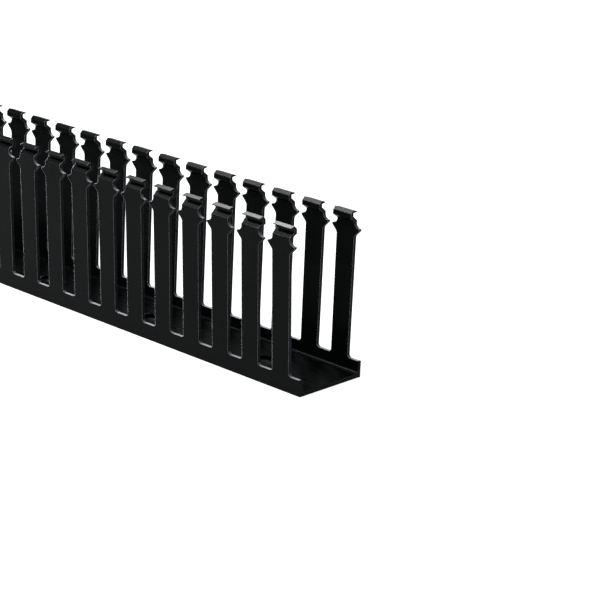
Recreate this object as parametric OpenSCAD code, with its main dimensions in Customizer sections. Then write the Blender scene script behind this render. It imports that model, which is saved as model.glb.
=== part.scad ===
// Slotted wire duct: a rigid PVC U-channel with a square-cut end. Both side walls are
// die cut into rows of barbed fingers, and the finger tops are bent inwards and out
// again into a lip that holds a cover. The stock runs along X, the open side faces +Z,
// and the origin is at the middle of the underside. The slots of the two walls face
// each other. A depth is measured down from the top of the fingers.

/* [Stock] */
// Length of the piece
duct_l = 1000; // [100:12.5:2000]
// Outside width across the base
duct_w = 25; // [20:1:100]
// Height from the underside to the top of the fingers
duct_h = 49.6; // [35:0.1:100]
// Thickness of the side walls
wall_t = 1; // [0.8:0.1:1.6]
// Thickness of the base
base_t = 1.4; // [0.8:0.1:2]
// Outward lean of each side wall, in degrees
wall_lean = 1.5; // [0.5:0.1:3]
// Radius of the inside corners along the base
corner_r = 0.8; // [0.3:0.1:1.5]

/* [Fingers] */
// Distance from one finger to the next
pitch = 12.5; // [11.5:0.5:15]
// Width of a finger at the floor of the slots
finger_w = 6.65; // [5.5:0.05:7.2]
// Width of a finger just under its barbs
finger_top_w = 6.95; // [5.5:0.05:7.2]
// Height of the solid wall below the slots
slot_floor = 5; // [3:0.5:12]
// Radius of the slot's lower corners
slot_r = 1; // [0.3:0.1:2]
// Distance from the near cut end to the edge of the first finger
end_gap = 4.6; // [2.5:0.1:5]
// Narrowest stub of a finger that stays standing at the far cut end
stub_min = 3; // [2:0.5:5]

/* [Barbs] */
// Clear width between the noses of two neighbouring barbs
throat_w = 1.7; // [1.5:0.1:2.5]
// Depth of the barb's nose
nose_depth = 5.8; // [5.3:0.1:8]
// Radius of the barb's nose
nose_r = 0.35; // [0.2:0.05:0.5]
// Slope of the barb's lower flank, in degrees
flank_slope = 45; // [30:5:60]
// Radius of the curve from the barb's flank down into the finger's edge
shoulder_r = 1.4; // [0.8:0.1:1.6]
// Radius of the hollow above the barb
hollow_r = 1.6; // [0.8:0.1:1.9]

/* [Head] */
// Width of the finger's neck between barb and head
neck_w = 6.9; // [5.6:0.1:7.1]
// Width of the head at its lower corners
head_w = 7.3; // [7.2:0.1:8.4]
// Width of the head at its top
head_top_w = 7.05; // [6:0.05:7.15]
// Depth of the head's lower corners
head_depth = 2.2; // [1.5:0.1:2.8]
// Radius of the head's lower corners
head_r = 0.55; // [0.3:0.05:0.7]

/* [Bent top] */
// Depth of the fold where the wall turns inwards
fold_depth = 3.7; // [3:0.1:5.5]
// Depth of the fold where the wall turns upright again
waist_depth = 2.35; // [1.8:0.05:2.8]
// How far the upright top stands in from the wall
waist_in = 1.85; // [0.5:0.05:2.2]
// Depth of the bevel along the top's inner edge
bevel_depth = 0.9; // [0.3:0.1:1.2]
// How far the crest stands in from the wall
crest_in = 1; // [0.3:0.1:1.3]
// Reach of the lip outwards from the crest
lip_reach = 1.65; // [1.2:0.05:2.2]
// Drop of the lip's top face from the crest to the tip
lip_drop = 0.42; // [0.2:0.02:0.8]
// Thickness of the lip at its root, down from the crest
lip_t = 0.85; // [0.6:0.05:1]
// Thickness of the lip at its tip
lip_tip_t = 0.2; // [0.1:0.05:0.3]

/* [Mounting slots] */
// Distance from one mounting slot to the next
mount_pitch = 50; // [25:12.5:100]
// Width of a mounting slot
mount_w = 4.5; // [3:0.1:6]
// Length of a mounting slot, end to end
mount_l = 10; // [7:0.5:20]

/* [Hidden] */
$fn = 48;
slot_w = pitch - finger_w;
slot_x0 = duct_l / 2 - end_gap - finger_w - slot_w / 2;
slot_count = ceil((slot_x0 + duct_l / 2) / pitch + 0.5);
mount_count = floor(duct_l / mount_pitch);
mount_x0 = -(mount_count - 1) * mount_pitch / 2;
inner_y = duct_w / 2 - wall_t;
cut_w = 2 * duct_w;
over = 5;

// Sideways shift of a leaning wall at height z
function lean(z) = z * tan(wall_lean);

// One side wall in section, seen along X: a strip of one thickness that folds inwards
// below the head, upright again, and ends in the lip
module wall_section() {
    fold_z = duct_h - fold_depth;
    waist_z = duct_h - waist_depth;
    fold_angle = atan(waist_in / (fold_depth - waist_depth));
    mitre = wall_t * tan(fold_angle / 2);
    top_y = inner_y + lean(duct_h);
    head_y = top_y - waist_in;
    crest_y = top_y - crest_in;
    tip_z = duct_h - lip_drop;
    polygon([
        [inner_y, 0],
        [inner_y + wall_t, 0],
        [inner_y + wall_t + lean(fold_z), fold_z + mitre],
        [head_y + wall_t, waist_z + mitre],
        [head_y + wall_t, duct_h - lip_t],
        [crest_y + lip_reach, tip_z - lip_tip_t],
        [crest_y + lip_reach, tip_z],
        [crest_y, duct_h],
        [head_y, duct_h - bevel_depth],
        [head_y, waist_z],
        [inner_y + lean(fold_z), fold_z]
    ]);
}

// Rounded inside corner between the base and the leaning wall
module corner_fillet() {
    centre_z = base_t + corner_r;
    centre_y = inner_y + lean(centre_z) - corner_r / cos(wall_lean);
    touch_y = centre_y + corner_r * cos(wall_lean);
    touch_z = centre_z - corner_r * sin(wall_lean);
    difference() {
        polygon([
            [centre_y, base_t / 2],
            [inner_y + wall_t / 2, base_t / 2],
            [inner_y + wall_t / 2, touch_z],
            [touch_y, touch_z],
            [centre_y, centre_z]
        ]);
        translate([centre_y, centre_z]) circle(corner_r);
    }
}

module duct_section() {
    translate([-duct_w / 2, 0]) square([duct_w, base_t]);
    for (side = [0, 1])
        mirror([side, 0]) {
            wall_section();
            corner_fillet();
        }
}

// Fills the lower outer corner of a gap, at x and z, with a fillet of radius r
module gap_corner(x, z, r) {
    translate([x - r, z + r])
        difference() {
            translate([0, -r - over]) square(r + over);
            circle(r);
        }
}

// Half of the gap between two fingers, from the slot's floor to above the top. The
// middle of the gap is at x = 0.
module half_gap() {
    floor_x = slot_w / 2;
    edge_x = (pitch - finger_top_w) / 2;
    neck_x = (pitch - neck_w) / 2;
    head_x = (pitch - head_w) / 2;
    top_x = (pitch - head_top_w) / 2;
    head_z = duct_h - head_depth;
    nose_x = throat_w / 2 + nose_r;
    nose_z = duct_h - nose_depth;
    nose_top = nose_z + nose_r;
    flank_x = cos(flank_slope);
    flank_z = sin(flank_slope);
    shoulder_x = edge_x - shoulder_r;
    flank_rise = (shoulder_r + nose_r - (nose_x - shoulder_x) * flank_x) / flank_z;
    shoulder_z = nose_z - flank_rise;
    difference() {
        polygon([
            [0, slot_floor],
            [floor_x, slot_floor],
            [floor_x, slot_floor + slot_r],
            [edge_x, shoulder_z],
            [shoulder_x, shoulder_z],
            [shoulder_x + shoulder_r * flank_x, shoulder_z + shoulder_r * flank_z],
            [nose_x - nose_r * flank_x, nose_z - nose_r * flank_z],
            [nose_x, nose_z],
            [nose_x, nose_top],
            [0, nose_top]
        ]);
        gap_corner(floor_x, slot_floor, slot_r);
        translate([nose_x, nose_z]) circle(nose_r);
    }
    translate([shoulder_x, shoulder_z]) circle(shoulder_r);
    difference() {
        translate([0, nose_top]) square([neck_x, head_z - nose_top]);
        gap_corner(neck_x, nose_top, hollow_r);
        translate([head_x + head_r, head_z]) {
            circle(head_r);
            translate([0, -head_r]) square([pitch, head_r]);
        }
    }
    polygon([
        [0, head_z],
        [head_x, head_z],
        [top_x, duct_h],
        [top_x, duct_h + over],
        [0, duct_h + over]
    ]);
}

// Cuts one slot through both walls
module slot_cutter() {
    rotate([90, 0, 0])
        linear_extrude(cut_w, center = true)
            for (side = [0, 1])
                mirror([side, 0]) half_gap();
}

// Clears what the square cut leaves of a finger that it runs through, from the middle
// of a slot outwards
module stub_cutter() {
    translate([0, -cut_w / 2, slot_floor]) cube([pitch, cut_w, duct_h]);
}

module mount_cutter() {
    span = mount_l - mount_w;
    translate([-span / 2, -mount_w / 2, -over]) cube([span, mount_w, 2 * over]);
    for (side = [-1, 1])
        translate([side * span / 2, 0, -over]) cylinder(d = mount_w, h = 2 * over);
}

module duct_channel() {
    color([0.1, 0.11, 0.1])
        difference() {
            translate([-duct_l / 2, 0, 0])
                rotate([90, 0, 90])
                    linear_extrude(duct_l) duct_section();
            for (i = [-1 : slot_count - 1])
                translate([slot_x0 - i * pitch, 0, 0]) slot_cutter();
            translate([slot_x0 + pitch, 0, 0]) stub_cutter();
            for (i = [0 : slot_count - 1])
                if (slot_x0 - i * pitch - slot_w / 2 + duct_l / 2 < stub_min)
                    translate([slot_x0 - i * pitch, 0, 0])
                        mirror([1, 0, 0]) stub_cutter();
            for (i = [0 : mount_count - 1])
                translate([mount_x0 + i * mount_pitch, 0, 0]) mount_cutter();
        }
}

duct_channel();
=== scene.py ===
"""Looks of the slotted wire duct: finish of the black PVC, white studio, lamps and camera."""

import math

import bpy
from mathutils import Matrix, Vector


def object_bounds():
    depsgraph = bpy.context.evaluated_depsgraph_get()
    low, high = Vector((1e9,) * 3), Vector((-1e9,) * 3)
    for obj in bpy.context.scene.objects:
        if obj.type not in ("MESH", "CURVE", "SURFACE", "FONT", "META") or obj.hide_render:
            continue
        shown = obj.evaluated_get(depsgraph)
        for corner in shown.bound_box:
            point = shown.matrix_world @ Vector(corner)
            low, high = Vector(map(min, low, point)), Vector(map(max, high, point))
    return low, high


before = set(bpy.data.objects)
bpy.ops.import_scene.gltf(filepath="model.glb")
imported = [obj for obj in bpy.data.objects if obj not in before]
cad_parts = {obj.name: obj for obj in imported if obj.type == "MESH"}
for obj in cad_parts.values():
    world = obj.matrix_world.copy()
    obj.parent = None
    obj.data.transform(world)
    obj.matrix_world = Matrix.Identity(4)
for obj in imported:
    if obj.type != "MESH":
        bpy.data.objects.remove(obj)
cad_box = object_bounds()

# The sawn end that faces the viewer, and the middle of the stretch of duct in view
SAWN_END_X = cad_box[1][0]
IN_VIEW = Vector((SAWN_END_X - 0.09, 0.0, 0.025))

# Colours of the PVC: extruded skin, faces that the punch cut, a paler grey painted on cut faces
# that look up as light from above, and edges that are part wear and part painted highlight
PVC_BLACK = (0.0011, 0.0017, 0.0017, 1.0)
PVC_DUSTY = (0.0028, 0.0036, 0.0036, 1.0)
CUT_GREY = (0.019, 0.022, 0.024, 1.0)
# Painted light: cut faces that look up get this pale grey in place of light from above
PAINTED_TOPLIGHT_GREY = (0.25, 0.275, 0.295, 1.0)
# Pale colour of the edges: part wear, part painted highlight
EDGE_WEAR_AND_HIGHLIGHT = (0.60, 0.69, 0.76, 1.0)

# Its sheen, and how far the die lines and the torn grain stand up
SPECULAR_LEVEL = 0.032
PVC_IOR = 1.53
SKIN_ROUGHNESS = (0.24, 0.33)
CUT_ROUGHNESS = (0.38, 0.52)
LINE_HEIGHT = 0.000012
GRAIN_HEIGHT = 0.00004
BUMP_STRENGTH = 0.6

# How fine the lines, the dusty patches and the grain are, and how far lines are drawn out
LINE_FINENESS = 900.0
LINE_DRAW_OUT = 0.02
PATCH_FINENESS = 45.0
GRAIN_FINENESS = 2600.0

# Level punched faces lie above this height, and the saw cuts are beyond these lengths
UNDERSIDE_TOP = 0.002
CUT_HALF_LENGTH = SAWN_END_X - 0.0005
EDGE_MARK_HALF_LENGTH = SAWN_END_X - 0.0015
EDGE_R = 0.0002
EDGE_SAMPLES = 8
EXTRUDED_WEAR_AND_HIGHLIGHT = 0.04

# The floor: its own white, its glow, and the painted shadow, a dark strip without glow where the
# duct stands
FLOOR_WHITE = (0.28, 0.28, 0.28, 1.0)
FLOOR_PAINTED_SHADOW = (0.04, 0.04, 0.04, 1.0)
FLOOR_GLOW = 0.93
FLOOR_HALF_SIZE = 60.0
SHADOW_STRIP_HALF_WIDTH = 0.0124

# The surroundings: full white up to the first height, ceiling level from the second
WHITE_UP_TO = 0.15
CEILING_FROM = 0.29
CEILING_LEVEL = 0.15

# Name, direction from the stretch in view, distance, width, height, brightness of the face
SOFTBOXES = (
    ("key_softbox", (-0.207, 0.167, 0.315), 0.41, 0.1, 0.1, 58.0),
    ("crest_softbox", (-0.207, -0.15, 0.322), 0.41, 0.08, 0.08, 100.0),
    ("top_softbox", (-0.2, -0.12, 0.97), 1.2, 0.8, 0.6, 2.4),
)

# The camera: lens and sensor in millimetres, angles in degrees, stand in metres
LENS = 135.36
SENSOR_WIDTH = 36.0
AZIMUTH = 44.208
ELEVATION = 18.664
ROLL = 1.569
CAMERA_STAND = Vector((SAWN_END_X + 0.416221, -0.441371, 0.231056))


# ---------------------------------------------------------------- node helpers

def add_node(tree, kind, **settings):
    """A new node with its plain properties set."""
    node = tree.nodes.new(kind)
    for name, value in settings.items():
        setattr(node, name, value)
    return node


def set_inputs(node, values):
    """Sets a node's unlinked inputs by name."""
    for name, value in values.items():
        node.inputs[name].default_value = value


def feed(tree, socket, value):
    """Sets a socket to a plain number or colour, or links it to another socket."""
    if isinstance(value, (int, float, tuple)):
        socket.default_value = value
    else:
        tree.links.new(value, socket)


def do_math(tree, operation, first, second=None):
    """One Math node, fed with sockets or plain numbers. Gives its result."""
    node = add_node(tree, "ShaderNodeMath", operation=operation)
    feed(tree, node.inputs[0], first)
    if second is not None:
        feed(tree, node.inputs[1], second)
    return node.outputs[0]


def mix_colours(tree, mask, first, second):
    """One Mix node between two colours, which are its inputs 6 and 7. Gives the colour."""
    node = add_node(tree, "ShaderNodeMix", data_type="RGBA")
    tree.links.new(mask, node.inputs["Factor"])
    feed(tree, node.inputs[6], first)
    feed(tree, node.inputs[7], second)
    return node.outputs[2]


def mix_values(tree, mask, first, second):
    """One Mix node between two numbers, which are its inputs 2 and 3. Gives the number."""
    node = add_node(tree, "ShaderNodeMix", data_type="FLOAT")
    tree.links.new(mask, node.inputs["Factor"])
    feed(tree, node.inputs[2], first)
    feed(tree, node.inputs[3], second)
    return node.outputs[0]


def map_range(tree, value, low, high, to_low, to_high):
    """One Map Range node. Gives its result, which stays between the two ends."""
    node = add_node(tree, "ShaderNodeMapRange")
    tree.links.new(value, node.inputs["Value"])
    set_inputs(node, {"From Min": low, "From Max": high, "To Min": to_low, "To Max": to_high})
    return node.outputs["Result"]


def split(tree, vector):
    """The X, Y and Z of a vector."""
    node = add_node(tree, "ShaderNodeSeparateXYZ")
    tree.links.new(vector, node.inputs[0])
    return node.outputs["X"], node.outputs["Y"], node.outputs["Z"]


def add_noise(tree, place, fineness, detail, roughness):
    """A Noise node at the given coordinates. Gives its value."""
    noise = add_node(tree, "ShaderNodeTexNoise")
    set_inputs(noise, {"Detail": detail, "Roughness": roughness})
    feed(tree, noise.inputs["Scale"], fineness)
    tree.links.new(place, noise.inputs["Vector"])
    return noise.outputs["Fac"]


def new_group(name, inputs, outputs):
    """An empty shader node group, whose inputs are numbers with a default. Gives the group
    and its input and output nodes."""
    group = bpy.data.node_groups.new(name, "ShaderNodeTree")
    for socket_name, value in inputs:
        socket = group.interface.new_socket(
            socket_name, in_out="INPUT", socket_type="NodeSocketFloat"
        )
        socket.default_value = value
    for socket_name, kind in outputs:
        group.interface.new_socket(socket_name, in_out="OUTPUT", socket_type=kind)
    return group, add_node(group, "NodeGroupInput"), add_node(group, "NodeGroupOutput")


# ---------------------------------------------------------------- surface effects

def make_die_lines_group():
    """Fine lines that the extrusion die leaves along the stock: noise drawn out along X.
    Patches is plain noise, for a slightly dusty skin."""
    group, source, result = new_group(
        "die_lines",
        [("Fineness", LINE_FINENESS)],
        [("Lines", "NodeSocketFloat"), ("Patches", "NodeSocketFloat")],
    )
    place = add_node(group, "ShaderNodeTexCoord").outputs["Object"]
    draw_out = add_node(group, "ShaderNodeMapping")
    draw_out.inputs["Scale"].default_value = (LINE_DRAW_OUT, 1.0, 1.0)
    group.links.new(place, draw_out.inputs["Vector"])
    drawn_out = draw_out.outputs["Vector"]
    lines = add_noise(group, drawn_out, source.outputs["Fineness"], 3.0, 0.6)
    patches = add_noise(group, place, PATCH_FINENESS, 4.0, 0.55)
    group.links.new(lines, result.inputs["Lines"])
    group.links.new(patches, result.inputs["Patches"])
    return group


def make_cut_faces_group():
    """Finds the punched faces by their direction: no sideways part to the normal, and
    either facing along the stock or lying above the underside. The sawn ends are left out.
    Painted Toplight tells how far a face looks up, for the paler grey painted on as light from
    above, and Torn is the grain that the punch leaves."""
    group, source, result = new_group(
        "cut_faces",
        [("Base Height", UNDERSIDE_TOP), ("Half Length", CUT_HALF_LENGTH)],
        [("Mask", "NodeSocketFloat"), ("Painted Toplight", "NodeSocketFloat"), ("Torn", "NodeSocketFloat")],
    )
    place = add_node(group, "ShaderNodeTexCoord")
    facing_x, facing_y, facing_z = split(group, place.outputs["Normal"])
    at_x, _, at_z = split(group, place.outputs["Object"])
    sideways = do_math(group, "ABSOLUTE", facing_y)
    not_sideways = do_math(group, "LESS_THAN", sideways, 0.01)
    lengthways = do_math(group, "ABSOLUTE", facing_x)
    along_stock = do_math(group, "GREATER_THAN", lengthways, 0.05)
    above_base = do_math(group, "GREATER_THAN", at_z, source.outputs["Base Height"])
    from_middle = do_math(group, "ABSOLUTE", at_x)
    not_sawn = do_math(group, "LESS_THAN", from_middle, source.outputs["Half Length"])
    either = do_math(group, "MAXIMUM", along_stock, above_base)
    mask = do_math(group, "MULTIPLY", not_sideways, either)
    mask = do_math(group, "MULTIPLY", mask, not_sawn)
    # Painted light: the more a cut face looks up, the paler it is painted, as if lit from above
    painted_toplight = map_range(group, facing_z, 0.1, 0.9, 0.0, 1.0)
    torn = add_noise(group, place.outputs["Object"], GRAIN_FINENESS, 4.0, 0.65)
    group.links.new(mask, result.inputs["Mask"])
    group.links.new(painted_toplight, result.inputs["Painted Toplight"])
    group.links.new(torn, result.inputs["Torn"])
    return group


def make_edges_group():
    """Rounds the edges in the shading, and finds the ones that the punch left: there the rounded
    normal swings along the stock. These get a pale colour that is part wear and part painted
    highlight; extruded edges and folds get less of it."""
    group, source, result = new_group(
        "worn_and_highlit_edges",
        [("Radius", EDGE_R), ("Half Length", EDGE_MARK_HALF_LENGTH)],
        [("Wear And Highlight", "NodeSocketFloat"), ("Normal", "NodeSocketVector")],
    )
    place = add_node(group, "ShaderNodeTexCoord")
    rounded = add_node(group, "ShaderNodeBevel", samples=EDGE_SAMPLES)
    group.links.new(source.outputs["Radius"], rounded.inputs["Radius"])
    swing = add_node(group, "ShaderNodeVectorMath", operation="SUBTRACT")
    group.links.new(rounded.outputs["Normal"], swing.inputs[0])
    group.links.new(place.outputs["Normal"], swing.inputs[1])
    size = add_node(group, "ShaderNodeVectorMath", operation="LENGTH")
    group.links.new(swing.outputs[0], size.inputs[0])
    swing_x, _, _ = split(group, swing.outputs[0])
    at_x, _, _ = split(group, place.outputs["Object"])
    from_middle = do_math(group, "ABSOLUTE", at_x)
    not_sawn = do_math(group, "LESS_THAN", from_middle, source.outputs["Half Length"])
    along_stock = do_math(group, "ABSOLUTE", swing_x)
    punched = map_range(group, along_stock, 0.2, 0.5, 0.0, 1.0)
    punched = do_math(group, "MULTIPLY", punched, not_sawn)
    # Extruded edges and folds: a faint pale colour, part wear and part painted highlight
    extruded = map_range(group, size.outputs["Value"], 0.1, 0.5, 0.0, EXTRUDED_WEAR_AND_HIGHLIGHT)
    group.links.new(do_math(group, "MAXIMUM", punched, extruded), result.inputs["Wear And Highlight"])
    group.links.new(rounded.outputs["Normal"], result.inputs["Normal"])
    return group


# ---------------------------------------------------------------- materials

def make_pvc():
    """Black rigid PVC: low sheen with die lines, greyer, rougher faces where it was cut, a paler
    grey painted on the upward ones as light from above, and pale edges that are part wear and part
    painted highlight.
    """
    material = bpy.data.materials.new("black_pvc")
    material.use_nodes = True
    tree = material.node_tree
    shader = tree.nodes["Principled BSDF"]
    lines = add_node(tree, "ShaderNodeGroup", node_tree=make_die_lines_group())
    cuts = add_node(tree, "ShaderNodeGroup", node_tree=make_cut_faces_group())
    edges = add_node(tree, "ShaderNodeGroup", node_tree=make_edges_group())

    dust = map_range(tree, lines.outputs["Patches"], 0.42, 0.72, 0.0, 1.0)
    skin = mix_colours(tree, dust, PVC_BLACK, PVC_DUSTY)
    # Cut faces are greyer; those that look up are painted paler as light from above
    cut = mix_colours(tree, cuts.outputs["Painted Toplight"], CUT_GREY, PAINTED_TOPLIGHT_GREY)
    colour = mix_colours(tree, cuts.outputs["Mask"], skin, cut)
    # Pale edges: part wear, part painted highlight
    colour = mix_colours(tree, edges.outputs["Wear And Highlight"], colour, EDGE_WEAR_AND_HIGHLIGHT)
    tree.links.new(colour, shader.inputs["Base Color"])

    skin_rough = map_range(tree, lines.outputs["Lines"], 0.3, 0.7, *SKIN_ROUGHNESS)
    cut_rough = map_range(tree, cuts.outputs["Torn"], 0.3, 0.7, *CUT_ROUGHNESS)
    rough = mix_values(tree, cuts.outputs["Mask"], skin_rough, cut_rough)
    tree.links.new(rough, shader.inputs["Roughness"])

    skin_height = do_math(tree, "MULTIPLY", lines.outputs["Lines"], LINE_HEIGHT)
    cut_height = do_math(tree, "MULTIPLY", cuts.outputs["Torn"], GRAIN_HEIGHT)
    cut_height = do_math(tree, "MULTIPLY", cut_height, cuts.outputs["Mask"])
    bump = add_node(tree, "ShaderNodeBump")
    set_inputs(bump, {"Strength": BUMP_STRENGTH, "Distance": 1.0})
    tree.links.new(do_math(tree, "ADD", skin_height, cut_height), bump.inputs["Height"])
    tree.links.new(edges.outputs["Normal"], bump.inputs["Normal"])
    tree.links.new(bump.outputs["Normal"], shader.inputs["Normal"])

    set_inputs(shader, {"Specular IOR Level": SPECULAR_LEVEL, "IOR": PVC_IOR})
    return material


def make_floor_paper():
    """White paper. It shows white to the eye and in reflections, and takes shadows. The strip that
    the duct stands on has a painted shadow: it is dark and doesn't glow."""
    material = bpy.data.materials.new("white_paper")
    material.use_nodes = True
    tree = material.node_tree
    tree.nodes.remove(tree.nodes["Principled BSDF"])
    output = tree.nodes["Material Output"]
    matt = add_node(tree, "ShaderNodeBsdfDiffuse")
    glow = add_node(tree, "ShaderNodeEmission")
    seen = add_node(tree, "ShaderNodeLightPath")
    direct = do_math(tree, "MAXIMUM", seen.outputs["Is Camera Ray"], seen.outputs["Is Glossy Ray"])
    direct = do_math(tree, "MAXIMUM", direct, seen.outputs["Is Transmission Ray"])
    at_x, at_y, _ = split(tree, add_node(tree, "ShaderNodeTexCoord").outputs["Object"])
    across = do_math(tree, "ABSOLUTE", at_y)
    along = do_math(tree, "ABSOLUTE", at_x)
    # Painted shadow: the strip under the duct is dark and its glow is cut off
    beside = do_math(tree, "GREATER_THAN", across, SHADOW_STRIP_HALF_WIDTH)
    beyond = do_math(tree, "GREATER_THAN", along, SAWN_END_X)
    open_floor = do_math(tree, "MAXIMUM", beside, beyond)
    shade = mix_colours(tree, open_floor, FLOOR_PAINTED_SHADOW, FLOOR_WHITE)
    tree.links.new(shade, matt.inputs["Color"])
    strength = do_math(tree, "MULTIPLY", direct, FLOOR_GLOW)
    strength = do_math(tree, "MULTIPLY", strength, open_floor)
    tree.links.new(strength, glow.inputs["Strength"])
    both = add_node(tree, "ShaderNodeAddShader")
    tree.links.new(matt.outputs[0], both.inputs[0])
    tree.links.new(glow.outputs[0], both.inputs[1])
    tree.links.new(both.outputs[0], output.inputs["Surface"])
    return material


# ---------------------------------------------------------------- studio

def make_floor():
    """A large square of the paper, level with the underside of the duct."""
    half = FLOOR_HALF_SIZE
    mesh = bpy.data.meshes.new("studio_floor")
    corners = [(-half, -half, 0), (half, -half, 0), (half, half, 0), (-half, half, 0)]
    mesh.from_pydata([(x + SAWN_END_X, y, z) for x, y, z in corners], [], [(0, 1, 2, 3)])
    mesh.materials.append(make_floor_paper())
    floor = bpy.data.objects.new("studio_floor", mesh)
    bpy.context.scene.collection.objects.link(floor)


def make_world():
    """White surroundings up to a little above the horizon, and a dark ceiling over them."""
    world = bpy.data.worlds.new("studio_world")
    bpy.context.scene.world = world
    world.use_nodes = True
    tree = world.node_tree
    sky = tree.nodes["Background"]
    sky.inputs["Color"].default_value = (1.0, 1.0, 1.0, 1.0)
    _, _, height = split(tree, add_node(tree, "ShaderNodeTexCoord").outputs["Generated"])
    level = map_range(tree, height, WHITE_UP_TO, CEILING_FROM, 1.0, CEILING_LEVEL)
    tree.links.new(level, sky.inputs["Strength"])


def make_softbox(name, towards, distance, width, height, radiance):
    """A rectangular lamp that stands off the stretch in view in the given direction and
    faces it. Its power follows from its area and how bright its face is."""
    light = bpy.data.lights.new(name, "AREA")
    light.shape = "RECTANGLE"
    light.size = width
    light.size_y = height
    light.energy = radiance * math.pi * width * height
    lamp = bpy.data.objects.new(name, light)
    bpy.context.scene.collection.objects.link(lamp)
    direction = Vector(towards).normalized()
    lamp.location = IN_VIEW + direction * distance
    lamp.rotation_euler = direction.to_track_quat("Z", "Y").to_euler()


def make_camera():
    """A long lens at the duct's sawn end, seen from the right and a little above."""
    data = bpy.data.cameras.new("camera")
    data.sensor_width = SENSOR_WIDTH
    data.lens = LENS
    camera = bpy.data.objects.new("camera", data)
    bpy.context.scene.collection.objects.link(camera)
    bpy.context.scene.camera = camera
    azimuth, elevation, roll = (math.radians(a) for a in (AZIMUTH, ELEVATION, ROLL))
    back = Vector(
        (
            math.sin(azimuth) * math.cos(elevation),
            -math.cos(azimuth) * math.cos(elevation),
            math.sin(elevation),
        )
    )
    level = Vector((0.0, 0.0, 1.0)).cross(back).normalized()
    upright = back.cross(level)
    right = level * math.cos(roll) + upright * math.sin(roll)
    up = upright * math.cos(roll) - level * math.sin(roll)
    turn = Matrix((right, up, back)).transposed().to_4x4()
    camera.matrix_world = Matrix.Translation(CAMERA_STAND) @ turn


def dress_duct():
    """Gives the duct its PVC."""
    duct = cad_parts["duct_channel"]
    pvc = make_pvc()
    for slot in duct.material_slots:
        slot.material = pvc


dress_duct()
make_floor()
make_world()
for softbox in SOFTBOXES:
    make_softbox(*softbox)
make_camera()

bpy.context.scene.view_settings.view_transform = "Standard"
